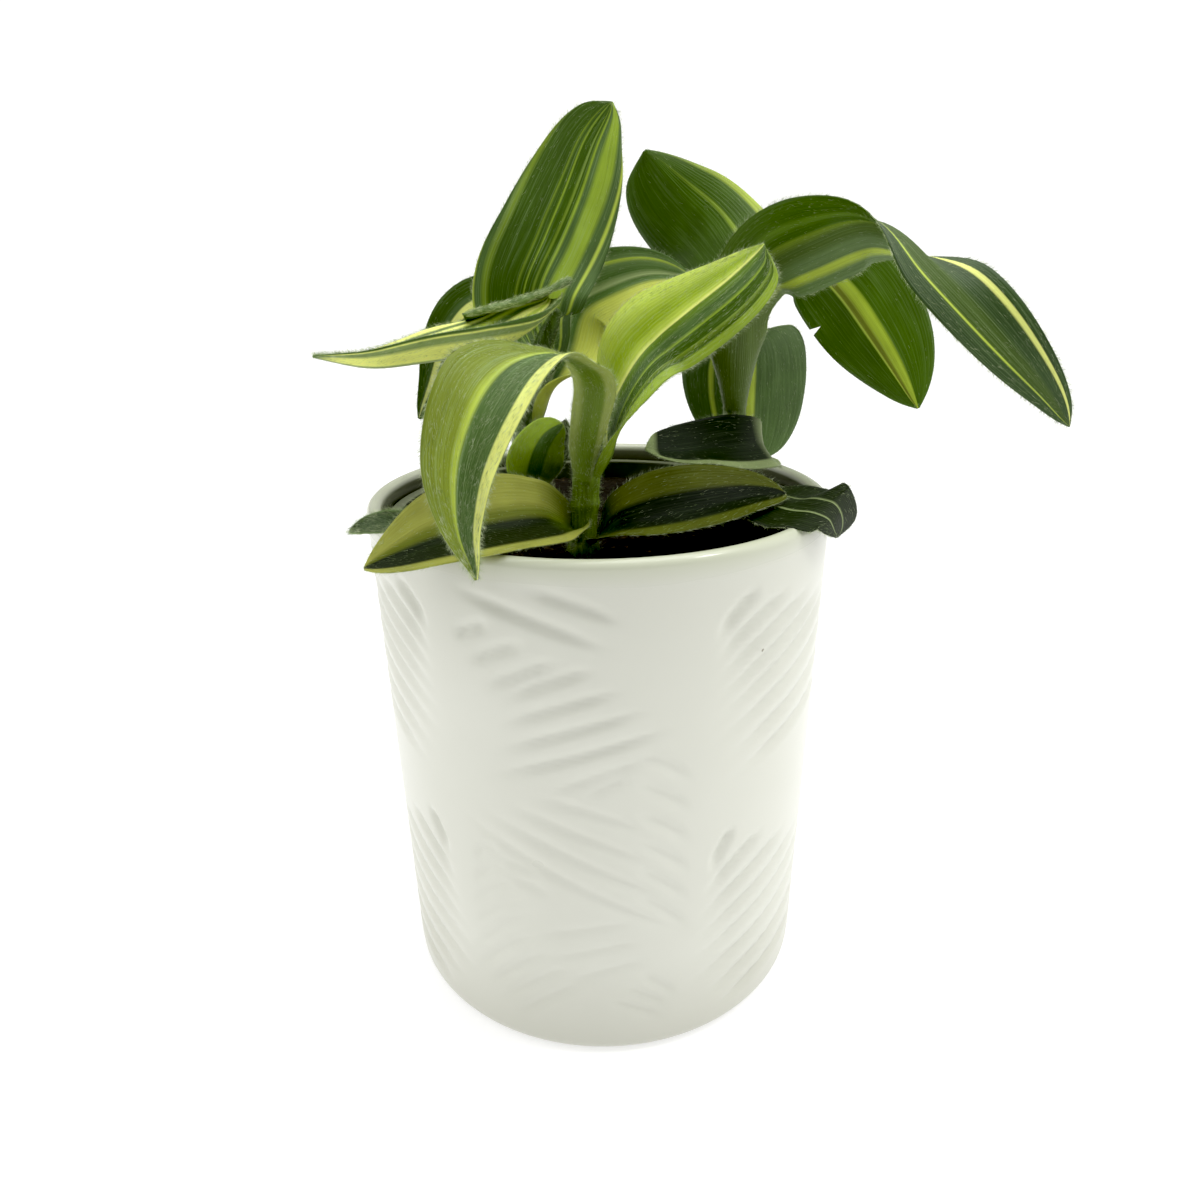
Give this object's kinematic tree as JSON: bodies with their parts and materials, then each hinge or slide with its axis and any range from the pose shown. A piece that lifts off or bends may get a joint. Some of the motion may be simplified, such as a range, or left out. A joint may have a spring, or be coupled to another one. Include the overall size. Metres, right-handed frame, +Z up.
{
  "type": "potted plant",
  "caption": "Potted tradescantia: arching striped leaves on upright shoots in a white glazed ceramic pot with a soft frond relief.",
  "frame": {"origin": "centre of the pot's flat underside", "axes": "+Z up along the pot's axis, -Y towards the front, +X to the right seen from the front"},
  "size_m": [0.1764, 0.127, 0.2318],
  "materials": {
    "white_glaze": "glossy glaze over a soft relief",
    "nursery_plastic": "satin grey-green plastic",
    "soil": "moist crumbs, nearly black",
    "stem_green": "satin with fine hairs",
    "leaf_deep_green": "hairy, dark green with pale stripes",
    "leaf_mid_green": "satin, green with yellow stripes",
    "leaf_lime": "satin, lime margins around a green band"
  },
  "bodies": {
    "root": {"ceramic_pot": "white_glaze", "grow_pot": "nursery_plastic", "soil": "soil", "stem_front": "stem_green", "stem_left": "stem_green", "stem_right": "stem_green", "leaf_tall_upright": "leaf_mid_green", "leaf_left_folded": "leaf_lime", "leaf_left_hanging": "leaf_deep_green", "leaf_front_arching": "leaf_lime", "leaf_right_boat": "leaf_lime", "leaf_back_centre": "leaf_deep_green", "leaf_back_upper": "leaf_mid_green", "leaf_right_arching": "leaf_deep_green", "leaf_right_hanging": "leaf_mid_green", "leaf_behind_right_stem": "leaf_deep_green", "leaf_low_back_right": "leaf_deep_green", "leaf_low_front_right": "leaf_deep_green", "leaf_low_right_over_rim": "leaf_deep_green", "leaf_low_left_over_rim": "leaf_deep_green", "leaf_low_far_left": "leaf_deep_green", "leaf_young_centre": "leaf_deep_green", "leaf_young_hairy": "leaf_deep_green"}
  },
  "joints": []
}
